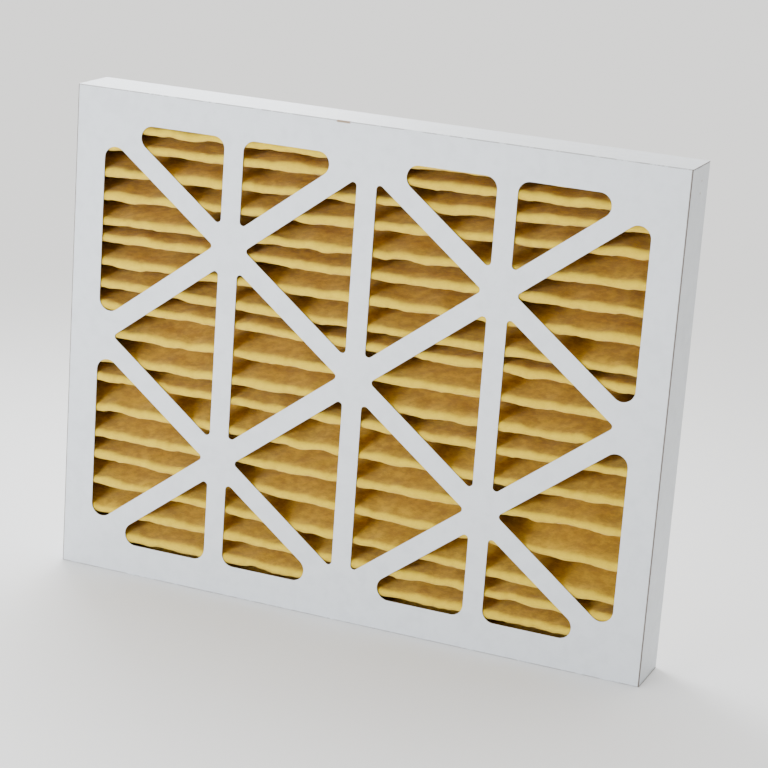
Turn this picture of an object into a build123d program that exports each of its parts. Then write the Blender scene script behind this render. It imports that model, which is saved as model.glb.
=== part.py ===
"""Pleated panel air filter with a die-cut board frame, nominal 20 x 16 x 2 inch.

Two folded board trays nest into each other, and hold a pleated filter sheet on a welded wire support.
Millimetres. +X is the panel's width, +Y the air's way through it, +Z up.
The origin is the middle of the base, so the panel stands on its long lower edge.
"""

from build123d import *
import os
from math import asin, atan2, cos, hypot, pi, sin

# Outside sizes of the panel
FRAME_WIDTH = 495.0
FRAME_HEIGHT = 394.0
FRAME_DEPTH = 45.0

# Die-cut board: its thickness, and how it is scored, folded and nested
BOARD = 0.8
FOLD_ROUND = 0.6  # outside rounding of a scored fold
FLAP_SLIT = 0.15  # slit between a wall flap and the corner tab under it
NEST_GAP = 0.2  # glue line between the two trays
TAB_LENGTH = 32.0
TAB_RELIEF = 1.5  # how far a corner tab stays back from the tray's face
TAB_TAPER = 4.0  # how much narrower a corner tab is at its free end
REAR_WALL_REACH = 41.0  # depth of the inner tray's walls

# Windows in both faces: a border, and a lattice of straight struts
BORDER = 25.4
STRUT = 16.0
CELLS_ACROSS = 2
CELLS_HIGH = 2
BORDER_CORNER = 9.5  # corner radius where a window meets the border
STRUT_CORNER = 3.0  # corner radius where struts meet

# Filter sheet and its folds
SHEET = 3.0
SHEET_FOLD = 3.3  # radius of the sheet's middle layer round a fold
FOLD_RUNS = 6  # short straight runs that make up the round of a fold
PLEAT_PITCH = 20.35
FLAP_SETBACK = 3.0  # how far the glued end flaps stay back from the front face
# How far each front fold sits above its even place, at the left and the right end, from the bottom fold up
FOLD_DRIFT = (
    (1, 1), (-3, -2), (-3, -6), (1, -12), (2, -5), (-1, 3), (1, 5), (6, 8), (1, 7), (2, 9),
    (4, 11), (1, 3), (-2, 7), (-3, 8), (-10, 8), (-11, 11), (-12, 9), (-11, 2), (-16, -5),
)

# Welded wire support behind the sheet
WIRE = 0.9
WIRE_CLEARANCE = 0.15
PROFILE_WIRES = 5  # wires that follow the pleats
WIRE_END_MARGIN = 4.0  # from the sheet's cut ends to the first and last of them

# Adhesive
STRAP_GLUE = 0.3  # thickness between the fold tips and the frame's upright struts
STRAP_GLUE_WIDTH = 10.0
EDGE_SEAL = 1.2  # thickness round the sheet's four edges
EDGE_SEAL_REACH = 38.0  # how deep the seal runs along the walls

# Sizes that follow from the ones above
REAR_WIDTH = FRAME_WIDTH - 2 * (BOARD + NEST_GAP)
REAR_HEIGHT = FRAME_HEIGHT - 2 * (2 * BOARD + FLAP_SLIT + NEST_GAP)
FRONT_FACE_BACK = -FRAME_DEPTH / 2 + BOARD
REAR_FACE_FRONT = FRAME_DEPTH / 2 - BOARD
CAVITY_HALF_WIDTH = REAR_WIDTH / 2 - BOARD
CAVITY_HALF_HEIGHT = REAR_HEIGHT / 2 - 2 * BOARD - FLAP_SLIT
SHEET_HALF_WIDTH = CAVITY_HALF_WIDTH - EDGE_SEAL
FOLD_OUTSIDE = SHEET_FOLD + SHEET / 2
FRONT_ROLL_Y = FRONT_FACE_BACK + STRAP_GLUE + FOLD_OUTSIDE
REAR_ROLL_Y = REAR_FACE_FRONT - STRAP_GLUE - 2 * WIRE - WIRE_CLEARANCE - FOLD_OUTSIDE
FLAP_Z = CAVITY_HALF_HEIGHT - EDGE_SEAL - SHEET / 2
PLEATS = round(2 * FLAP_Z / PLEAT_PITCH)


def block(x_from, x_to, y_from, y_to, z_from, z_to):
    """A box between six planes."""
    size = (x_to - x_from, y_to - y_from, z_to - z_from)
    middle = ((x_from + x_to) / 2, (y_from + y_to) / 2, (z_from + z_to) / 2)
    return Pos(*middle) * Box(*size)


# ---------------------------------------------------------------- the frame's board trays


def lattice(open_width, open_height):
    """The struts: an X in each cell, and an upright through and between the cells."""
    cell_width = open_width / CELLS_ACROSS
    cell_height = open_height / CELLS_HIGH
    diagonal = hypot(cell_width, cell_height)
    slope = atan2(cell_height, cell_width) * 180 / pi
    struts = []
    for half_column in range(1, 2 * CELLS_ACROSS):
        x = -open_width / 2 + half_column * cell_width / 2
        struts.append(Pos(x, 0) * Rectangle(STRUT, open_height + STRUT))
    for column in range(CELLS_ACROSS):
        for row in range(CELLS_HIGH):
            x = -open_width / 2 + (column + 0.5) * cell_width
            z = -open_height / 2 + (row + 0.5) * cell_height
            for turn in (slope, -slope):
                struts.append(Pos(x, z) * Rot(0, 0, turn) * Rectangle(diagonal + STRUT, STRUT))
    return struts


def windows():
    """The outlines cut out of the board, rounded widely at the border and tightly between struts."""
    open_width = FRAME_WIDTH - 2 * BORDER
    open_height = FRAME_HEIGHT - 2 * BORDER
    opening = Rectangle(open_width, open_height) - lattice(open_width, open_height)
    rounded = []
    for window in opening.faces():
        at_border = []
        at_struts = []
        for v in window.vertices():
            at_side = abs(abs(v.X) - open_width / 2) < 0.01 or abs(abs(v.Y) - open_height / 2) < 0.01
            (at_border if at_side else at_struts).append(v)
        places = [(v.X, v.Y) for v in at_border]
        window = window.fillet_2d(STRUT_CORNER, at_struts)
        if places:
            near = [v for v in window.vertices() if any(hypot(v.X - x, v.Y - y) < 0.01 for x, y in places)]
            window = window.fillet_2d(BORDER_CORNER, near)
        rounded.append(window.outer_wire())
    return rounded


def corner_tab(width, height, depth):
    """The tab that a side wall folds in under the top flap. It tapers towards its free end."""
    top = height / 2 - BOARD - FLAP_SLIT
    outline = Polyline(
        (width / 2, TAB_RELIEF + BOARD),
        (width / 2 - TAB_LENGTH, TAB_RELIEF + BOARD + TAB_TAPER),
        (width / 2 - TAB_LENGTH, depth - TAB_TAPER),
        (width / 2, depth),
        close=True,
    )
    return Pos(0, 0, top - BOARD) * extrude(make_face(outline), BOARD)


def board_tray(width, height, depth):
    """One die-cut blank folded up: its face at y 0, its four walls reaching back to y depth."""
    outline = Rectangle(width, height).face().outer_wire()
    face = extrude(Plane.XZ * Face(outline, windows()), -BOARD)
    top = block(-width / 2, width / 2, 0, depth, height / 2 - BOARD, height / 2)
    side_top = height / 2 - BOARD - FLAP_SLIT
    side = block(width / 2 - BOARD, width / 2, 0, depth, -side_top, side_top)
    tab = corner_tab(width, height, depth)
    walls = [top, mirror(top, Plane.XY), side, mirror(side, Plane.YZ)]
    upper_tabs = [tab, mirror(tab, Plane.YZ)]
    tabs = upper_tabs + [mirror(t, Plane.XY) for t in upper_tabs]
    tray = face.fuse(*walls, *tabs)
    return fillet(outer_folds(tray, width, height), FOLD_ROUND)


def outer_folds(tray, width, height):
    """The outside edges of the scored folds: round the face, and from each side wall to its tabs."""
    side_top = height / 2 - BOARD - FLAP_SLIT
    found = []
    for edge in tray.edges():
        middle = edge.center()
        round_face = abs(middle.Y) < 0.01 and (
            abs(abs(middle.X) - width / 2) < 0.01 or abs(abs(middle.Z) - height / 2) < 0.01
        )
        to_tab = (
            abs(abs(middle.X) - width / 2) < 0.01
            and abs(abs(middle.Z) - side_top) < 0.01
            and edge.length > TAB_LENGTH / 2
        )
        if round_face or to_tab:
            found.append(edge)
    return found


def front_frame():
    return Pos(0, -FRAME_DEPTH / 2, 0) * board_tray(FRAME_WIDTH, FRAME_HEIGHT, FRAME_DEPTH)


def rear_frame():
    return Pos(0, FRAME_DEPTH / 2, 0) * Rot(0, 0, 180) * board_tray(REAR_WIDTH, REAR_HEIGHT, REAR_WALL_REACH)


# ---------------------------------------------------------------- the pleats


def fold_drift(k):
    """Front fold k's drift. The list is laid on from both ends, and a panel with fewer or more folds than it
    has entries skips or repeats the middle ones, so the end folds always keep clear of the two flaps.
    """
    from_near_end = k if k < PLEATS / 2 else k - PLEATS
    return FOLD_DRIFT[from_near_end % len(FOLD_DRIFT)]


def fold_rolls(along):
    """The centres (y, z) that the sheet is wrapped round, from the bottom flap up to the top one.

    along runs from 0 at the sheet's left end to 1 at its right end. Rear and front rolls take turns.
    """
    front = []
    for k in range(PLEATS):
        left, right = fold_drift(k)
        even = (k - (PLEATS - 1) / 2) * PLEAT_PITCH
        front.append(even + left + (right - left) * along)
    rear = [(low + high) / 2 for low, high in zip(front, front[1:])]
    rear = [-FLAP_Z + SHEET_FOLD] + rear + [FLAP_Z - SHEET_FOLD]
    rolls = []
    for k in range(PLEATS):
        rolls += [(REAR_ROLL_Y, rear[k]), (FRONT_ROLL_Y, front[k])]
    return rolls + [(REAR_ROLL_Y, rear[-1])]


def legs(rolls):
    """The direction angle of the straight leg from each roll to the next.

    A leg is the line that touches the two rolls on opposite sides, so it is turned from the line between
    their centres by the angle whose sine is the two radii over the distance.
    """
    angles = []
    for k, ((y0, z0), (y1, z1)) in enumerate(zip(rolls, rolls[1:])):
        between = atan2(z1 - z0, y1 - y0)
        turned = asin(2 * SHEET_FOLD / hypot(y1 - y0, z1 - z0))
        angles.append(between % (2 * pi) + turned if k % 2 == 0 else between - turned)
    return angles


def on_roll(roll, rear, offset, angle):
    """The point where a layer of the sheet, running in direction angle, touches its roll.

    offset is the layer's distance behind the sheet's middle layer: it turns on a larger radius at a rear
    fold and on a smaller one at a front fold.
    """
    y, z = roll
    reach = SHEET_FOLD + offset if rear else offset - SHEET_FOLD
    return y + reach * sin(angle), z - reach * cos(angle)


def flap_ends(offset):
    """The free front ends of the two flaps that are glued to the bottom and top walls."""
    y = FRONT_FACE_BACK + FLAP_SETBACK
    return (y, -FLAP_Z - offset), (y, FLAP_Z + offset)


def sheet_layer(along, offset):
    """The points of one face of the sheet, seen from its end: round each fold, and straight between folds."""
    first, last = flap_ends(offset)
    rolls = fold_rolls(along)
    angles = [0.0] + legs(rolls) + [pi]
    points = [first]
    for k, roll in enumerate(rolls):
        for run in range(FOLD_RUNS + 1):
            angle = angles[k] + (angles[k + 1] - angles[k]) * run / FOLD_RUNS
            points.append(on_roll(roll, k % 2 == 0, offset, angle))
    return points + [last]


def sheet_end(along):
    """The sheet's cut end as a face in the plane across the panel's width."""
    outline = sheet_layer(along, SHEET / 2) + sheet_layer(along, -SHEET / 2)[::-1]
    x = (2 * along - 1) * SHEET_HALF_WIDTH
    return Plane((x, 0, 0), x_dir=(0, 1, 0), z_dir=(1, 0, 0)) * make_face(Polyline(*outline, close=True))


def pleated_media():
    return loft([sheet_end(0), sheet_end(1)], ruled=True)


# ---------------------------------------------------------------- the wire support


def wire_layer(along, offset):
    """The corner points of a wire bent along the back of the sheet, from the bottom rear fold to the top one.

    It runs square across each rear fold, and turns back in the hollow of each front fold.
    """
    rolls = fold_rolls(along)
    angles = [0.0] + legs(rolls) + [pi]
    points = []
    for k, (y, z) in enumerate(rolls):
        rear = k % 2 == 0
        touches = [on_roll((y, z), rear, offset, angle) for angle in (angles[k], angles[k + 1])]
        if not rear:
            points += touches
            continue
        back = y + SHEET_FOLD + offset
        for (py, pz), angle in zip(touches, (angles[k], angles[k + 1])):
            points.append((back, pz + (back - py) * sin(angle) / cos(angle)))
    return points[1:-1]


def profile_wire(along):
    """One wire that follows the pleats from the bottom rear fold to the top one."""
    near = wire_layer(along, SHEET / 2 + WIRE_CLEARANCE)
    far = wire_layer(along, SHEET / 2 + WIRE_CLEARANCE + WIRE)
    x = (2 * along - 1) * SHEET_HALF_WIDTH
    outline = Polyline(*near, *far[::-1], close=True)
    band = Plane((x, 0, 0), x_dir=(0, 1, 0), z_dir=(1, 0, 0)) * make_face(outline)
    return extrude(band, WIRE / 2, both=True)


def line_wire(fold):
    """One straight wire along a rear fold, welded to the backs of all the profile wires."""
    y = REAR_ROLL_Y + FOLD_OUTSIDE + WIRE_CLEARANCE + 1.5 * WIRE
    z_left = fold_rolls(0)[2 * fold][1]
    z_right = fold_rolls(1)[2 * fold][1]
    turn = atan2(z_right - z_left, 2 * SHEET_HALF_WIDTH) * 180 / pi
    length = 2 * SHEET_HALF_WIDTH - WIRE_END_MARGIN
    return Pos(0, y, (z_left + z_right) / 2) * Rot(0, -turn, 0) * Box(length, WIRE, WIRE)


def wire_support():
    margin = WIRE_END_MARGIN / (2 * SHEET_HALF_WIDTH)
    wires = []
    for k in range(PROFILE_WIRES):
        wires.append(profile_wire(margin + (1 - 2 * margin) * k / (PROFILE_WIRES - 1)))
    for fold in range(1, PLEATS):
        wires.append(line_wire(fold))
    return Compound(wires)


# ---------------------------------------------------------------- the adhesive


def strap_glue(y_from):
    """A ribbon of adhesive on each upright strut, where the fold tips are stuck to it."""
    open_width = FRAME_WIDTH - 2 * BORDER
    pitch = open_width / CELLS_ACROSS / 2
    half_width = STRAP_GLUE_WIDTH / 2
    half_height = FLAP_Z - SHEET / 2
    y_to = y_from + STRAP_GLUE
    ribbons = []
    for half_column in range(1, 2 * CELLS_ACROSS):
        x = -open_width / 2 + half_column * pitch
        ribbons.append(block(x - half_width, x + half_width, y_from, y_to, -half_height, half_height))
    return Compound(ribbons)


def side_seal():
    """The bead that pots the sheet's cut ends against the inner tray's right wall."""
    y = seal_span()
    return block(SHEET_HALF_WIDTH, CAVITY_HALF_WIDTH, *y, -CAVITY_HALF_HEIGHT, CAVITY_HALF_HEIGHT)


def top_seal():
    """The bead between the top flap and the inner tray's top wall, let in round the corner tabs."""
    y = seal_span()
    lower = block(-SHEET_HALF_WIDTH, SHEET_HALF_WIDTH, *y, CAVITY_HALF_HEIGHT - EDGE_SEAL, CAVITY_HALF_HEIGHT)
    tab_end = REAR_WIDTH / 2 - TAB_LENGTH
    upper = block(-tab_end, tab_end, *y, CAVITY_HALF_HEIGHT, CAVITY_HALF_HEIGHT + FLAP_SLIT + BOARD)
    return lower + upper


def seal_span():
    """From where to where the seals run, front to back."""
    return REAR_FACE_FRONT - EDGE_SEAL_REACH, REAR_FACE_FRONT


# ---------------------------------------------------------------- build and write


def main():
    nodes = {
        "front_frame": front_frame(),
        "rear_frame": rear_frame(),
        "pleated_media": pleated_media(),
        "wire_support": wire_support(),
        "front_strap_glue": strap_glue(FRONT_FACE_BACK),
        "rear_strap_glue": strap_glue(REAR_FACE_FRONT - STRAP_GLUE),
        "right_edge_seal": side_seal(),
        "left_edge_seal": mirror(side_seal(), Plane.YZ),
        "top_edge_seal": top_seal(),
        "bottom_edge_seal": mirror(top_seal(), Plane.XY),
    }
    os.makedirs("parts", exist_ok=True)
    for name, shape in nodes.items():
        export_step(Pos(0, 0, FRAME_HEIGHT / 2) * shape, f"parts/{name}.step")
        print(f"{name}: {len(shape.solids())} solids, {sum(s.volume for s in shape.solids()):.0f} mm3")


main()
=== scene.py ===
# %% [markdown]
# # A pleated panel air filter
#
# The real thing is three materials glued together: two folded trays of white paperboard, a golden mat of
# fibres folded into pleats, and a grid of thin galvanized wire that keeps the pleats apart. The trays'
# solids already have the right shape, so they only get a finish here. The mat is soft and uneven, and the
# wires are round, so those two are made again as surfaces worked out with numpy.
#
# All lengths are in metres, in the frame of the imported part: +X along the width, +Y the way the air goes,
# +Z up, with the origin in the middle of the base.

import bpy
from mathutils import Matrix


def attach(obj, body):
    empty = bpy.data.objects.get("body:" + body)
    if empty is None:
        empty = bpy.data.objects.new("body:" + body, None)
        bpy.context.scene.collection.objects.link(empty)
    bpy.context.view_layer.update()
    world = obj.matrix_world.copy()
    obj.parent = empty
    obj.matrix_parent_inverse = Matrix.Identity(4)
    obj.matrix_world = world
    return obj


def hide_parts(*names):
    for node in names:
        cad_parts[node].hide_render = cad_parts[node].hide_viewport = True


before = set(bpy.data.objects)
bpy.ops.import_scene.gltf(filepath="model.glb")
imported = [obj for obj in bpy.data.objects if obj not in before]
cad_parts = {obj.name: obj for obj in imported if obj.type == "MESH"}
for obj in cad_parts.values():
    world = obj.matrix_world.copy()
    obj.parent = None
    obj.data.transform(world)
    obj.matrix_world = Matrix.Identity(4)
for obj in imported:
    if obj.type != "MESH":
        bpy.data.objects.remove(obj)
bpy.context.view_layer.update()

from math import cos, pi, radians, sin

import bpy
import numpy as np
from mathutils import Matrix, Vector

MM = 0.001
WIDTH = 495 * MM
HEIGHT = 394 * MM
DEPTH = 45 * MM
BOARD = 0.8 * MM

# %% [markdown]
# ## The camera
#
# A camera is a place and three directions. A long lens is used, as for product pictures, and it is rolled
# about four degrees, which makes the panel look as if it leans. The directions are written as the rows of
# the camera's own axes: right, up, and backwards out of the lens.

# %% Place the camera
CAMERA_PLACE = (0.6699, -1.6403, 0.6937)
CAMERA_RIGHT = (0.9193, 0.3874, 0.0690)
CAMERA_BACK = (0.3559, -0.8935, 0.2737)
LENS = 111.8  # millimetres, on a sensor of this width
SENSOR_WIDTH = 36.0

right = Vector(CAMERA_RIGHT).normalized()
back = Vector(CAMERA_BACK)
back = (back - back.dot(right) * right).normalized()
up = back.cross(right)
camera = bpy.data.objects.new("camera", bpy.data.cameras.new("camera"))
camera.data.lens = LENS
camera.data.sensor_width = SENSOR_WIDTH
camera.matrix_world = Matrix.Translation(CAMERA_PLACE) @ Matrix((right, up, back)).transposed().to_4x4()
bpy.context.scene.collection.objects.link(camera)
bpy.context.scene.camera = camera
range_to_middle = (Vector(CAMERA_PLACE) - Vector((0, 0, HEIGHT / 2))).length
print("camera is", round(range_to_middle, 2), "m from the panel's middle")

# %% [markdown]
# ## Helpers for materials
#
# Colours are easiest to judge as the hex values of a picture, which are sRGB. Shaders count in linear
# light, so one function turns one into the other. A second function adds a node with its settings and its
# links: an input that is given a node's output is linked to it, and any other value is typed in. The rest
# are short names for the few nodes that every material here is built from.

# %% Colour and node helpers
def linear(hex_colour):
    """Linear RGBA from an sRGB hex value: each channel over 12.92, or ((c + 0.055) / 1.055) to the 2.4."""
    channels = [int(hex_colour[i : i + 2], 16) / 255 for i in (1, 3, 5)]
    return tuple(c / 12.92 if c <= 0.04045 else ((c + 0.055) / 1.055) ** 2.4 for c in channels) + (1.0,)


def add(tree, kind, inputs=(), **settings):
    """Adds a node of a kind. inputs is {name or number: a value, or an output to link}."""
    node = tree.nodes.new(kind)
    for name, value in settings.items():
        setattr(node, name, value)
    for name, value in dict(inputs).items():
        if isinstance(value, bpy.types.NodeSocket):
            tree.links.new(value, node.inputs[name])
        else:
            node.inputs[name].default_value = value
    return node


def new_material(name):
    """An empty material: its tree, its shader, and Object coordinates."""
    material = bpy.data.materials.new(name)
    material.use_nodes = True
    tree = material.node_tree
    tree.nodes.clear()
    shader = add(tree, "ShaderNodeBsdfPrincipled")
    add(tree, "ShaderNodeOutputMaterial", {"Surface": shader.outputs[0]})
    place = add(tree, "ShaderNodeTexCoord").outputs["Object"]
    return material, tree, shader, place


def per_metre(size_mm):
    """The scale of a pattern whose features are size_mm apart, where coordinates are metres."""
    return 1 / (size_mm * MM)


def math(tree, operation, a, b=None):
    """One Math node: an operation on one or two numbers or outputs."""
    inputs = {0: a} if b is None else {0: a, 1: b}
    return add(tree, "ShaderNodeMath", inputs, operation=operation).outputs[0]


def product(tree, *values):
    """The product of two or more numbers or outputs."""
    total = values[0]
    for value in values[1:]:
        total = math(tree, "MULTIPLY", total, value)
    return total


def distance(tree, a, b):
    """The length of the vector (a, b): the square root of the sum of the two squares."""
    return math(tree, "SQRT", math(tree, "ADD", math(tree, "POWER", a, 2.0), math(tree, "POWER", b, 2.0)))


def between(tree, value, low, high):
    """0 up to low, 1 from high on, and a smooth step between them."""
    step = add(tree, "ShaderNodeMapRange", {"Value": value, "From Min": low, "From Max": high})
    step.interpolation_type = "SMOOTHSTEP"
    return step.outputs[0]


def fading(tree, value, low, high):
    """The other way round: 1 up to low, and 0 from high on."""
    return math(tree, "SUBTRACT", 1.0, between(tree, value, low, high))


def noise(tree, place, size_mm, detail, roughness=0.5):
    """A cloudy pattern from 0 to 1, whose features are about size_mm apart."""
    inputs = {"Vector": place, "Scale": per_metre(size_mm), "Detail": detail, "Roughness": roughness}
    return add(tree, "ShaderNodeTexNoise", inputs).outputs["Fac"]


def mix(tree, amount, colour, other):
    """The first colour where amount is 0, and the other where it is 1."""
    return add(tree, "ShaderNodeMix", {0: amount, 6: colour, 7: other}, data_type="RGBA").outputs[2]


def uneven_roughness(tree, shader, pattern, low, high):
    """Roughness that follows a pattern from low to high."""
    rough = add(tree, "ShaderNodeMapRange", {"Value": pattern, "To Min": low, "To Max": high})
    tree.links.new(rough.outputs[0], shader.inputs["Roughness"])


def bumps(tree, shader, height, strength, depth):
    """Relief, depth deep, that follows a height from 0 to 1."""
    bump = add(tree, "ShaderNodeBump", {"Strength": strength, "Distance": depth, "Height": height})
    tree.links.new(bump.outputs[0], shader.inputs["Normal"])


print("middle grey #808080 is", round(linear("#808080")[0], 3), "in linear light")

# %% [markdown]
# ## Clay-coated paperboard
#
# The trays are beverage board: brown kraft paper with a thin coat of white clay, die-cut and folded. The
# coat is smooth with a soft, even sheen. Under it the long fibres form clouds a few millimetres wide,
# which show as the faintest mottling. Where a knife has cut the board its brown core is seen, and along a
# scored fold the coat cracks and a grey-brown line shows through.
#
# The marks are drawn from position alone: how far a point is from a fold line, and which way it faces.
# That keeps them on the same spots from every side.

# %% Make the paperboard
BOARD_WHITE = "#dadee2"
BOARD_CLOUD = "#d4d8dc"
BOARD_CORE = "#8a7358"
BOARD_CRACK = "#6c6159"
CLOUD_SIZE, TOOTH_SIZE, CRACKLE_SIZE = 9, 0.9, 14  # millimetres
SIDE_CRACK = (0.6 * MM, 1.2 * MM)  # how far from the fold the crack is whole, and where it ends
TOP_CRACK = (0.4 * MM, 1.0 * MM)
TOP_CRACK_DEPTH = 0.6  # how much of the crack's colour the broken line on the long folds takes
CORE_DEPTH = 0.8  # how much of the core's colour a cut edge takes
WINDOW_MARGIN = 3 * MM  # what lies further than this inside the outline is a window's edge, not a wall

CHIP_X = -22 * MM  # a chip in the coat on the top front fold: its middle and its half length
CHIP_HALF_LENGTH = 6.5 * MM
CHIP_REACH = (1.3 * MM, 1.9 * MM)  # how far from the fold it is whole, and where it ends
SPECKS = ((4.5 * MM, 382 * MM), (3.0 * MM, 373 * MM))  # (y, z) on the right wall
SPECK_RADIUS = 1.2 * MM
SPECK_DEPTH = 0.9

NEST = 0.2 * MM  # between the rear tray and the front one round it
FLAP_SLIT = 0.15 * MM  # between a wall's flap and the corner tab under it


def handling_marks(tree, xyz, top_fold):
    """How bare the coat is worn: a chip on the top front fold, and two specks on the right wall."""
    along = math(tree, "ABSOLUTE", math(tree, "SUBTRACT", xyz[0], CHIP_X))
    near = fading(tree, along, 0.7 * CHIP_HALF_LENGTH, CHIP_HALF_LENGTH)
    on_fold = fading(tree, top_fold, *CHIP_REACH)
    above_middle = math(tree, "GREATER_THAN", xyz[2], HEIGHT / 2)
    marks = product(tree, near, on_fold, above_middle)
    on_right_wall = math(tree, "GREATER_THAN", xyz[0], WIDTH / 2 - BOARD)
    for y, z in SPECKS:
        away = distance(tree, math(tree, "SUBTRACT", xyz[1], y), math(tree, "SUBTRACT", xyz[2], z))
        clean = between(tree, away, 0.4 * SPECK_RADIUS, SPECK_RADIUS)
        speck = math(tree, "SUBTRACT", SPECK_DEPTH, clean)
        marks = math(tree, "MAXIMUM", marks, product(tree, speck, on_right_wall))
    return marks


def paperboard(name, half_width, half_height, faces_front):
    """The finish of a tray whose face is towards -Y (faces_front) or +Y."""
    material, tree, shader, place = new_material(name)
    forwards = 1.0 if faces_front else -1.0
    xyz = add(tree, "ShaderNodeSeparateXYZ", {0: place}).outputs
    normal = add(tree, "ShaderNodeNewGeometry").outputs["Normal"]
    facing = add(tree, "ShaderNodeSeparateXYZ", {0: normal}).outputs
    x = math(tree, "ABSOLUTE", xyz[0])
    z = math(tree, "ABSOLUTE", math(tree, "SUBTRACT", xyz[2], HEIGHT / 2))
    y = math(tree, "MULTIPLY", xyz[1], -forwards)
    from_side = math(tree, "SUBTRACT", x, half_width)
    from_top = math(tree, "SUBTRACT", z, half_height)
    from_face = math(tree, "SUBTRACT", y, DEPTH / 2)

    # Clouds of fibres, and the fine tooth of the coat
    clouds = noise(tree, place, CLOUD_SIZE, 4.0)
    tooth = noise(tree, place, TOOTH_SIZE, 3.0)
    colour = mix(tree, between(tree, clouds, 0.40, 0.72), linear(BOARD_WHITE), linear(BOARD_CLOUD))

    # The cracked coat along the folds round the face: whole at the sides, broken at the top and the bottom
    side_fold = distance(tree, from_side, from_face)
    top_fold = distance(tree, from_top, from_face)
    crackle = noise(tree, place, CRACKLE_SIZE, 5.0, 0.7)
    side_line = fading(tree, side_fold, *SIDE_CRACK)
    top_line = fading(tree, top_fold, *TOP_CRACK)
    broken = product(tree, top_line, between(tree, crackle, 0.38, 0.50))
    cracked = math(tree, "MAXIMUM", side_line, product(tree, broken, TOP_CRACK_DEPTH))
    colour = mix(tree, cracked, colour, linear(BOARD_CRACK))

    # The bare core on cut edges: in the windows and on the walls' rims
    sideways = fading(tree, math(tree, "ABSOLUTE", facing[1]), 0.2, 0.5)
    inside_width = math(tree, "LESS_THAN", from_side, -WINDOW_MARGIN)
    inside_height = math(tree, "LESS_THAN", from_top, -WINDOW_MARGIN)
    in_face = math(tree, "GREATER_THAN", from_face, -2 * BOARD)
    window_edge = product(tree, sideways, product(tree, inside_width, inside_height), in_face)
    faces_away = math(tree, "GREATER_THAN", product(tree, facing[1], forwards), 0.6)
    rim = product(tree, faces_away, math(tree, "LESS_THAN", from_face, -3 * BOARD))
    bare = product(tree, math(tree, "MAXIMUM", window_edge, rim), CORE_DEPTH)
    if faces_front:
        bare = math(tree, "MAXIMUM", bare, handling_marks(tree, xyz, top_fold))
    colour = mix(tree, bare, colour, linear(BOARD_CORE))

    # The raw ends of the side walls, which show at the corners as a darker line
    sidelong = math(tree, "GREATER_THAN", math(tree, "ABSOLUTE", facing[0]), 0.8)
    wall_end = product(tree, sidelong, math(tree, "GREATER_THAN", from_top, -1.5 * BOARD))
    colour = mix(tree, wall_end, colour, linear(BOARD_CRACK))

    height = math(tree, "ADD", product(tree, clouds, 0.6), product(tree, tooth, 0.25))
    bumps(tree, shader, height, 0.1, 0.15 * MM)
    uneven_roughness(tree, shader, tooth, 0.42, 0.56)
    tree.links.new(colour, shader.inputs["Base Color"])
    shader.inputs["IOR"].default_value = 1.5
    return material


front_board = paperboard("clay_coated_board_front", WIDTH / 2, HEIGHT / 2, True)
rear_half_width = WIDTH / 2 - BOARD - NEST
rear_half_height = HEIGHT / 2 - 2 * BOARD - FLAP_SLIT - NEST
rear_board = paperboard("clay_coated_board_rear", rear_half_width, rear_half_height, False)
for node, material in (("front_frame", front_board), ("rear_frame", rear_board)):
    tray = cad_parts[node]
    tray.data.materials.clear()
    tray.data.materials.append(material)
    print(node, "has", len(tray.data.polygons), "faces and the finish", material.name)

# %% [markdown]
# ## How the pleats run
#
# A pleating machine folds the mat to and fro, and the folds are then pulled apart by hand to fill the
# frame, so they are never quite even: some crests fan apart from left to right. Each fold is taken as the
# mat turning round a roll. The rolls lie in two rows, behind the front face and before the rear one, and
# each is a straight line from the left end of the panel to the right end.
#
# The mat between two rolls is the straight line that touches both on opposite sides. So its slope is the
# slope between the two centres, turned by the angle whose sine is the two radii over their distance.

# %% Place the rolls that the mat is folded round
MAT = 2.6 * MM
ROLL = 2.3 * MM  # radius of the mat's middle layer round a fold
SAG = 1.2 * MM  # how far the soft crests hang below the even folds of the solid
PITCH = 20.35 * MM
PLEATS = 19
GLUE = 0.3 * MM  # between the folds and the struts
WIRE = 0.9 * MM
WIRE_GAP = 0.15 * MM  # between the mat and a wire
EDGE_SEAL = 1.2 * MM  # glue round the mat's four edges
MAT_HALF_WIDTH = WIDTH / 2 - 2 * BOARD - NEST - EDGE_SEAL
FLAP_Z = HEIGHT / 2 - 4 * BOARD - 2 * FLAP_SLIT - NEST - EDGE_SEAL - MAT / 2
FRONT_ROLL_Y = -DEPTH / 2 + BOARD + GLUE + ROLL + MAT / 2
REAR_ROLL_Y = DEPTH / 2 - BOARD - GLUE - 2 * WIRE - WIRE_GAP - ROLL - MAT / 2
DRIFT_LEFT = MM * np.array([1, -3, -3, 1, 2, -1, 1, 6, 1, 2, 4, 1, -2, -3, -10, -11, -12, -11, -16.0])
DRIFT_RIGHT = MM * np.array([1, -2, -6, -12, -5, 3, 5, 8, 7, 9, 11, 3, 7, 8, 8, 11, 9, 2, -5.0])
WAVER_SEED = 7
WAVER_LENGTHS = (16 * MM, 50 * MM)
WAVER_HEIGHT = 0.4 * MM
WAVER_PER_ROLL = 5  # how much faster the waver changes from roll to roll than along one


def waves(seed, x, s, lengths, amplitude, count=14):
    """A smooth random height field: the mean of many sine waves in random directions.

    Each wave has a length between the two given, and a random direction and phase. The sum is scaled so
    that its spread is amplitude.
    """
    rng = np.random.default_rng(seed)
    total = 0 * x
    for _ in range(count):
        wave = 2 * pi / (lengths[0] + (lengths[1] - lengths[0]) * rng.random())
        heading = 2 * pi * rng.random()
        total = total + np.sin(wave * (x * cos(heading) + s * sin(heading)) + 2 * pi * rng.random())
    return amplitude * total / np.sqrt(count / 2)


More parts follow.
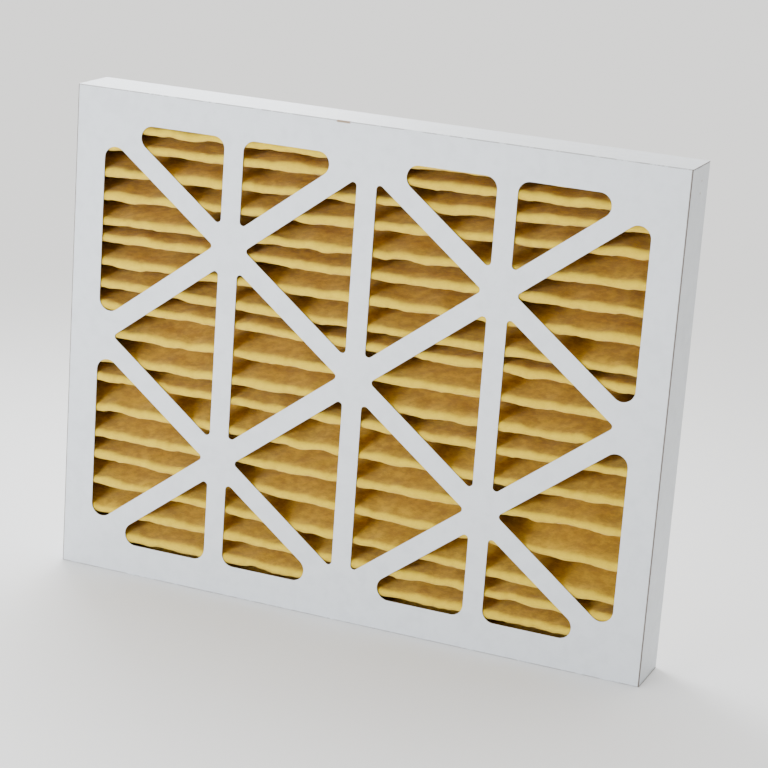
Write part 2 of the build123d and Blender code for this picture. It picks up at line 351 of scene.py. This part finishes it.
def rolls_at(x):
    """The rolls' centres (y, z), as arrays of rolls by places along x, from the bottom flap to the top one.

    A front roll's height is its even place, plus a drift that changes evenly from the left end to the right
    end, less the sag, plus a slight waver. A rear roll lies midway between its neighbours.
    """
    along = (x / MAT_HALF_WIDTH + 1) / 2
    even = (np.arange(PLEATS) - (PLEATS - 1) / 2)[:, None] * PITCH
    front = even + DRIFT_LEFT[:, None] * (1 - along) + DRIFT_RIGHT[:, None] * along
    z = np.empty((2 * PLEATS + 1, len(x)))
    waver = waves(WAVER_SEED, x + 0 * even, WAVER_PER_ROLL * even, WAVER_LENGTHS, WAVER_HEIGHT)
    z[1::2] = front - SAG + waver
    z[2:-1:2] = (front[:-1] + front[1:]) / 2
    z[0] = ROLL - FLAP_Z
    z[-1] = FLAP_Z - ROLL
    y = np.where(np.arange(2 * PLEATS + 1) % 2 == 0, REAR_ROLL_Y, FRONT_ROLL_Y)[:, None] + 0 * z
    return y, z


def leg_angles(y, z):
    """Each leg's direction, with the bottom flap's before them all and the top flap's after them."""
    dy, dz = np.diff(y, axis=0), np.diff(z, axis=0)
    between_centres = np.arctan2(dz, dy)
    turned = np.arcsin(2 * ROLL / np.hypot(dy, dz))
    to_front = (np.arange(len(dy)) % 2 == 0)[:, None]
    angles = np.where(to_front, between_centres % (2 * pi) + turned, between_centres - turned)
    return np.vstack([0 * angles[:1], angles, 0 * angles[:1] + pi])


_, crests = rolls_at(np.array([0.0]))
print("crests at the middle:", np.round(crests[1::2, 0] / MM).astype(int), "mm from the panel's middle")

# %% [markdown]
# ## The mat as a surface
#
# The mat is drawn as a grid: one direction runs along the panel's width, and the other along the folded
# strip, round each roll and straight on to the next. Every point knows its middle-layer place and the way
# the mat's back faces there, so its two skins are that place moved half a thickness either way.
#
# A mat of loose fibres isn't smooth. Broad swells and small tufts are added to each skin as sums of sine
# waves with seeded phases, which is quick, smooth and the same on every run. The mat is made as a lower
# and an upper half, as one mesh would be very heavy. They meet on the underside of a pleat, where the mat
# is straight and out of sight.

# %% Work out the folded strip
ROWS_ROUND = 10  # rows round a fold
ROWS_FLAP = 13  # rows along a glued flap
ROWS_STRAIGHT = 9  # rows along a leg
COLUMNS = 122  # columns along the panel's width
FLAP_FRONT = -DEPTH / 2 + BOARD + 3 * MM
GLUED_END = 12 * MM  # the swell dies out over this length at the mat's glued ends
SWELL_SEED = 3
SWELL_LENGTHS = (18 * MM, 60 * MM)
SWELL_HEIGHT = 0.35 * MM
FRONT_SEED, BACK_SEED = 11, 12
TUFT_LENGTHS = (3.5 * MM, 9 * MM)
TUFT_HEIGHT = 0.22 * MM
DENT = 0.6 * MM  # the deepest a skin may lie below its even place
ROOM = 0.18 * MM  # the highest it may stand above it
ROOM_ON_SLOPE = 0.6 * MM  # and how much higher on the front skin's slopes, as the struts hold only the tips


def strip(x):
    """The mat's middle layer and its backward direction, as arrays of rows by places along x.

    Round roll k the direction angle turns evenly from leg k's to leg k + 1's, and the place is the centre
    plus the radius times (sin, -cos) of that angle at a rear roll, or minus it at a front roll. Along a leg
    the place runs evenly between two such touching points.
    """
    y, z = rolls_at(x)
    angles = leg_angles(y, z)
    side = np.where(np.arange(len(y)) % 2 == 0, ROLL, -ROLL)[:, None, None]
    turn = np.linspace(0, 1, ROWS_ROUND)[None, :, None]
    a = angles[:-1, None, :] * (1 - turn) + angles[1:, None, :] * turn
    round_y = y[:, None, :] + side * np.sin(a)
    round_z = z[:, None, :] - side * np.cos(a)
    t = np.linspace(0, 1, ROWS_STRAIGHT + 2)[1:-1][None, :, None]
    leg_y = round_y[:-1, -1:, :] * (1 - t) + round_y[1:, :1, :] * t
    leg_z = round_z[:-1, -1:, :] * (1 - t) + round_z[1:, :1, :] * t
    leg_a = angles[1:-1, None, :] + 0 * leg_y
    columns = []
    for rounds, legs in ((round_y, leg_y), (round_z, leg_z), (a, leg_a)):
        in_turn = np.concatenate([rounds[:-1], legs], axis=1).reshape(-1, len(x))
        columns.append(np.vstack([in_turn, rounds[-1]]))
    y, z, a = columns
    flap = np.linspace(FLAP_FRONT, REAR_ROLL_Y, ROWS_FLAP + 1)[:-1, None] + 0 * x
    y = np.vstack([flap, y, flap[::-1]])
    z = np.vstack([0 * flap - FLAP_Z, z, 0 * flap + FLAP_Z])
    a = np.vstack([0 * flap, a, 0 * flap + pi])
    return y, z, a


def surface(name, points, faces, flat=None):
    """A smooth mesh object from an array of points and an array of faces with equal corner counts.

    flat says which faces keep a sharp edge, such as a cut end.
    """
    mesh = bpy.data.meshes.new(name)
    mesh.vertices.add(len(points))
    mesh.vertices.foreach_set("co", points.ravel())
    mesh.loops.add(faces.size)
    mesh.loops.foreach_set("vertex_index", faces.ravel())
    mesh.polygons.add(len(faces))
    mesh.polygons.foreach_set("loop_start", np.arange(len(faces)) * faces.shape[1])
    mesh.update(calc_edges=True)
    mesh.validate()
    mesh.shade_smooth()
    if flat is not None:
        mesh.polygons.foreach_set("use_smooth", ~flat)
    piece = bpy.data.objects.new(name, mesh)
    bpy.context.scene.collection.objects.link(piece)
    return piece


def mat_half(name, first, last):
    """The mat's rows from first to last as a closed mesh: front skin, back skin, and strips round the edges.

    A skin's point is the middle layer's, moved by half a thickness along (sin, -cos) of the direction angle,
    forwards or backwards.
    """
    x = np.linspace(-MAT_HALF_WIDTH, MAT_HALF_WIDTH, COLUMNS)
    y, z, a = strip(x)
    step = np.hypot(np.diff(y, axis=0), np.diff(z, axis=0))
    s = np.vstack([0 * x, np.cumsum(step, axis=0)])  # length along the strip
    xx = x[None, :] + 0 * y
    loose = np.clip((MAT_HALF_WIDTH - np.abs(xx)) / GLUED_END, 0, 1)
    swell = waves(SWELL_SEED, xx, s, SWELL_LENGTHS, SWELL_HEIGHT) * loose
    skins = []
    for sign, seed in ((-1, FRONT_SEED), (1, BACK_SEED)):
        tufts = waves(seed, xx, s, TUFT_LENGTHS, TUFT_HEIGHT)
        room = ROOM + (ROOM_ON_SLOPE * np.cos(a) ** 2 if sign < 0 else 0)
        offset = sign * (MAT / 2 + np.clip(tufts + sign * swell, -DENT, room))
        skin = np.stack([xx, y + offset * np.sin(a), z - offset * np.cos(a) + HEIGHT / 2], axis=-1)
        skins.append(skin[first : last + 1])
    rows = last - first + 1
    points = np.concatenate([skin.reshape(-1, 3) for skin in skins])
    number = np.arange(2 * rows * COLUMNS).reshape(2, rows, COLUMNS)
    front, rear = number

    def quads(a, b, c, d):
        return np.stack([a, b, c, d], axis=-1).reshape(-1, 4)

    faces = np.concatenate(
        [
            quads(front[:-1, :-1], front[1:, :-1], front[1:, 1:], front[:-1, 1:]),
            quads(rear[:-1, :-1], rear[:-1, 1:], rear[1:, 1:], rear[1:, :-1]),
            quads(front[:-1, 0], rear[:-1, 0], rear[1:, 0], front[1:, 0]),
            quads(front[:-1, -1], front[1:, -1], rear[1:, -1], rear[:-1, -1]),
            quads(front[0, :-1], front[0, 1:], rear[0, 1:], rear[0, :-1]),
            quads(front[-1, :-1], rear[-1, :-1], rear[-1, 1:], front[-1, 1:]),
        ]
    )
    cut_end = np.arange(len(faces)) >= 2 * (rows - 1) * (COLUMNS - 1)
    return surface(name, points, faces, flat=cut_end)


ROWS_PLEAT = ROWS_ROUND + ROWS_STRAIGHT
last_row = 2 * ROWS_FLAP + 2 * PLEATS * ROWS_PLEAT + ROWS_ROUND - 1
meeting_row = ROWS_FLAP + (PLEATS - 1) * ROWS_PLEAT + ROWS_ROUND + 2  # two rows along a leg
mats = [mat_half("pleated_mat_lower", 0, meeting_row), mat_half("pleated_mat_upper", meeting_row, last_row)]
for mat in mats:
    print(mat.name, "has", len(mat.data.polygons) * 2, "triangles")

# %% [markdown]
# ## A golden mat of loose fibres
#
# The mat is dry-laid polyester and cotton, held by a resin that tints it gold. It scatters light deeply
# and has no gloss, so its valleys glow brown where light has bounced from wall to wall. Single fibres are
# some 0.03 mm thick, finer than a picture shows, so they are drawn about ten times as coarse: short
# streaks that run every way, over clouds of thicker and thinner mat. The folds that lie furthest in front
# and behind are painted paler and yellower than the slopes: a painted highlight on the crests.

# %% Make the fibre mat
# The first colour is a painted highlight for the fold tips; the other two are the mat's own colours.
MAT_PAINTED_CREST_LIGHT = "#debe26"
MAT_GOLD = "#dcb31c"
MAT_DEEP = "#b88e10"
CREST_HIGHLIGHT_FROM = 17.4 * MM  # how far from the panel's middle plane the painted highlight on the folds starts, and where it is full
CREST_HIGHLIGHT_FULL = 21.8 * MM
THICK_CLOUD, FIBRE = 7, 3  # millimetres
FIBRE_STRETCH = 6.0  # how many times longer than wide a streak is
FIBRE_HEADINGS = (20, 75, 140)  # degrees
material, tree, shader, place = new_material("resin_bonded_fibre_mat")
clouds = noise(tree, place, THICK_CLOUD, 5.0, 0.6)
streaks = []
for k, heading in enumerate(FIBRE_HEADINGS):
    placing = {
        "Vector": place,
        "Rotation": (0.3 * k, radians(heading), 0.2),
        "Scale": (1.0, FIBRE_STRETCH, FIBRE_STRETCH),
    }
    streaks.append(noise(tree, add(tree, "ShaderNodeMapping", placing).outputs[0], FIBRE, 3.0))
fibres = math(tree, "MAXIMUM", math(tree, "MAXIMUM", streaks[0], streaks[1]), streaks[2])
shade = math(tree, "ADD", product(tree, clouds, 0.55), product(tree, fibres, 0.45))
tint = between(tree, shade, 0.44, 0.64)
colour = mix(tree, tint, linear(MAT_DEEP), linear(MAT_GOLD))
# Painted highlight: the folds that lie furthest in front and behind are made paler and yellower, and the
# slopes keep the darker colour as painted shade.
depth = math(tree, "ABSOLUTE", add(tree, "ShaderNodeSeparateXYZ", {0: place}).outputs[1])
crest_highlight_mask = between(tree, depth, CREST_HIGHLIGHT_FROM, CREST_HIGHLIGHT_FULL)
painted_crest_highlight = product(tree, crest_highlight_mask, math(tree, "ADD", product(tree, tint, 0.3), 0.7))
colour = mix(tree, painted_crest_highlight, colour, linear(MAT_PAINTED_CREST_LIGHT))
bumps(tree, shader, shade, 0.7, 0.7 * MM)
tree.links.new(colour, shader.inputs["Base Color"])
shader.inputs["Roughness"].default_value = 0.95
shader.inputs["Specular IOR Level"].default_value = 0.15
shader.inputs["Sheen Weight"].default_value = 0.15
shader.inputs["Sheen Roughness"].default_value = 0.6
for mat in mats:
    mat.data.materials.append(material)
    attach(mat, "root")
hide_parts("pleated_media")
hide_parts("pleated_media")
print("mat finish:", material.name)

# %% [markdown]
# ## The wire support
#
# Behind the mat lies a welded grid of galvanized wire, folded with it in one go. Upright wires, about an
# inch apart, follow every pleat, and a straight wire is welded across them along each rear fold. Each
# wire is a circle carried along a path: at every point of the path the circle stands square to the path's
# direction.

# %% Draw the wires
SIDES = 8  # flat faces round a wire


def tube(path, normal, radius):
    """A round wire along a path: each point plus radius times (cos, sin) in the plane square to the path.

    normal is a direction that is never along the path. The ends are closed with a ring drawn to a point.
    """
    along = np.gradient(path, axis=0)
    along /= np.linalg.norm(along, axis=1, keepdims=True)
    across = np.cross(along, normal)
    across /= np.linalg.norm(across, axis=1, keepdims=True)
    third = np.cross(along, across)
    turn = 2 * pi * np.arange(SIDES) / SIDES
    ring = np.cos(turn)[None, :, None] * across[:, None, :] + np.sin(turn)[None, :, None] * third[:, None, :]
    points = path[:, None, :] + radius * ring
    points = np.concatenate([0 * points[:1] + path[0], points, 0 * points[:1] + path[-1]])
    number = np.arange(points.shape[0] * SIDES).reshape(-1, SIDES)
    following = np.roll(number, -1, axis=1)
    faces = np.stack([number[:-1], following[:-1], following[1:], number[1:]], axis=-1).reshape(-1, 4)
    return points.reshape(-1, 3), faces


def joined(parts):
    """Several (points, faces) pairs as one, with the faces' numbers moved on."""
    starts = np.cumsum([0] + [len(points) for points, _ in parts[:-1]])
    moved_on = [faces + start for (_, faces), start in zip(parts, starts)]
    return np.concatenate([points for points, _ in parts]), np.concatenate(moved_on)


UPRIGHTS = 19
WIRE_MARGIN = 6 * MM  # from the mat's ends to the outermost upright wires
WELD = 0.05 * WIRE  # how far crossing wires are melted into each other
RUN_POINTS = 40  # points along a straight wire
wires = []
upright_x = np.linspace(-MAT_HALF_WIDTH + WIRE_MARGIN, MAT_HALF_WIDTH - WIRE_MARGIN, UPRIGHTS)
y, z, a = strip(upright_x)
reach = MAT / 2 + WIRE_GAP + WIRE / 2
without_flaps = slice(ROWS_FLAP, len(y) - ROWS_FLAP)
for k, x in enumerate(upright_x):
    wire_y = y[:, k] + reach * np.sin(a[:, k])
    wire_z = z[:, k] - reach * np.cos(a[:, k]) + HEIGHT / 2
    path = np.stack([0 * wire_y + x, wire_y, wire_z], axis=-1)
    wires.append(tube(path[without_flaps], np.array([1.0, 0, 0]), WIRE / 2))
ends = np.array([-MAT_HALF_WIDTH + WIRE_MARGIN / 2, MAT_HALF_WIDTH - WIRE_MARGIN / 2])
roll_y, roll_z = rolls_at(ends)
run = np.linspace(0, 1, RUN_POINTS)[:, None]
for k in range(2, 2 * PLEATS, 2):
    wire_y = roll_y[k, 0] + ROLL + reach + WIRE - WELD
    start = np.array([ends[0], wire_y, roll_z[k, 0] + HEIGHT / 2])
    end = np.array([ends[1], wire_y, roll_z[k, 1] + HEIGHT / 2])
    wires.append(tube(start * (1 - run) + end * run, np.array([0, 1.0, 0]), WIRE / 2))
wire_grid = surface("welded_wire_grid", *joined(wires))
print("wire grid has", len(wire_grid.data.polygons) * 2, "triangles")

# %% [markdown]
# ## Galvanized steel
#
# Hot-dipped wire is a soft, cloudy grey: zinc, dulled by air. It is a metal, so its colour is its
# reflection's, and its roughness wanders over a few millimetres where the zinc froze.

# %% Make the zinc coat
ZINC = "#b9bbb8"
ZINC_CLOUD = 4  # millimetres
zinc, tree, shader, place = new_material("galvanized_steel_wire")
uneven_roughness(tree, shader, noise(tree, place, ZINC_CLOUD, 3.0), 0.3, 0.6)
shader.inputs["Base Color"].default_value = linear(ZINC)
shader.inputs["Metallic"].default_value = 1.0
wire_grid.data.materials.append(zinc)
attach(wire_grid, "root")
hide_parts("wire_support")
print("wire finish:", zinc.name)

# %% [markdown]
# ## Dried white glue
#
# The beads of water-based glue dry to a tough, slightly yellow skin, smooth but not flat. They sit behind
# the struts and at the mat's edges, where only a sliver is ever seen, so the solids' own shapes will do.

# %% Make the glue
GLUE_IVORY = "#e3ddcb"
GLUE_LUMP = 5  # millimetres
glue, tree, shader, place = new_material("dried_white_glue")
lumps = noise(tree, place, GLUE_LUMP, 2.0)
bumps(tree, shader, lumps, 0.4, 0.6 * MM)
uneven_roughness(tree, shader, lumps, 0.3, 0.5)
shader.inputs["Base Color"].default_value = linear(GLUE_IVORY)
shader.inputs["IOR"].default_value = 1.47
for name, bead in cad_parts.items():
    if name.endswith(("_glue", "_seal")):
        bead.data.materials.clear()
        bead.data.materials.append(glue)
        print(name, "is finished in", glue.name)

# %% [markdown]
# ## The studio
#
# A pale floor, a white surround and two broad lights, all soft. The main light stands low in front, a
# little to the left: light that comes from low in front reaches the slopes of the mat as well as its
# crests, and the deep valleys are left to what bounces between them. The surround is dim in front and
# bright above, behind and to the left, which sets off the top wall. The second light stands behind the
# panel and above it, and adds a soft glow to the left part of that wall.

# %% Floor, surround and lights
FLOOR_WHITE = "#f4f4f4"
FLOOR_SIZE = 12
SURROUND_WHITE = "#fffefb"
SURROUND_BRIGHT_SIDE = (-0.35, 0.66, 0.66)  # towards the left, the back and the top
SURROUND_DIM, SURROUND_BRIGHT = 0.3, 3.0
LAMP_WHITE = "#f6faff"

bpy.ops.mesh.primitive_plane_add(size=FLOOR_SIZE, location=(0, 0, 0))
floor = bpy.context.object
floor.name = "studio_floor"
pale, tree, shader, place = new_material("pale_studio_floor")
shader.inputs["Base Color"].default_value = linear(FLOOR_WHITE)
shader.inputs["Roughness"].default_value = 0.9
floor.data.materials.append(pale)

world = bpy.data.worlds.new("white_surround")
world.use_nodes = True
tree = world.node_tree
surround = tree.nodes["Background"]
surround.inputs["Color"].default_value = linear(SURROUND_WHITE)
heading = add(tree, "ShaderNodeTexCoord").outputs["Generated"]
towards = {0: heading, 1: SURROUND_BRIGHT_SIDE}
towards_bright_side = add(tree, "ShaderNodeVectorMath", towards, operation="DOT_PRODUCT").outputs["Value"]
strength = {"Value": towards_bright_side, "To Min": SURROUND_DIM, "To Max": SURROUND_BRIGHT}
brightness = add(tree, "ShaderNodeMapRange", strength)
tree.links.new(brightness.outputs[0], surround.inputs["Strength"])
bpy.context.scene.world = world


def broad_light(name, place, target, size, power):
    """A square light at place that faces target."""
    data = bpy.data.lights.new(name, "AREA")
    data.size = size
    data.energy = power
    data.color = linear(LAMP_WHITE)[:3]
    light = bpy.data.objects.new(name, data)
    light.location = place
    light.rotation_euler = (Vector(target) - Vector(place)).to_track_quat("-Z", "Y").to_euler()
    light.visible_camera = False
    bpy.context.scene.collection.objects.link(light)
    print(name, "gives", power, "W from", size, "m across")


broad_light("key_light", place=(-0.45, -1.3, 0.24), target=(0, 0, 0.2), size=0.6, power=24)
broad_light("top_light", place=(-0.35, 0.35, 0.75), target=(-0.1, 0, 0.39), size=0.4, power=8)
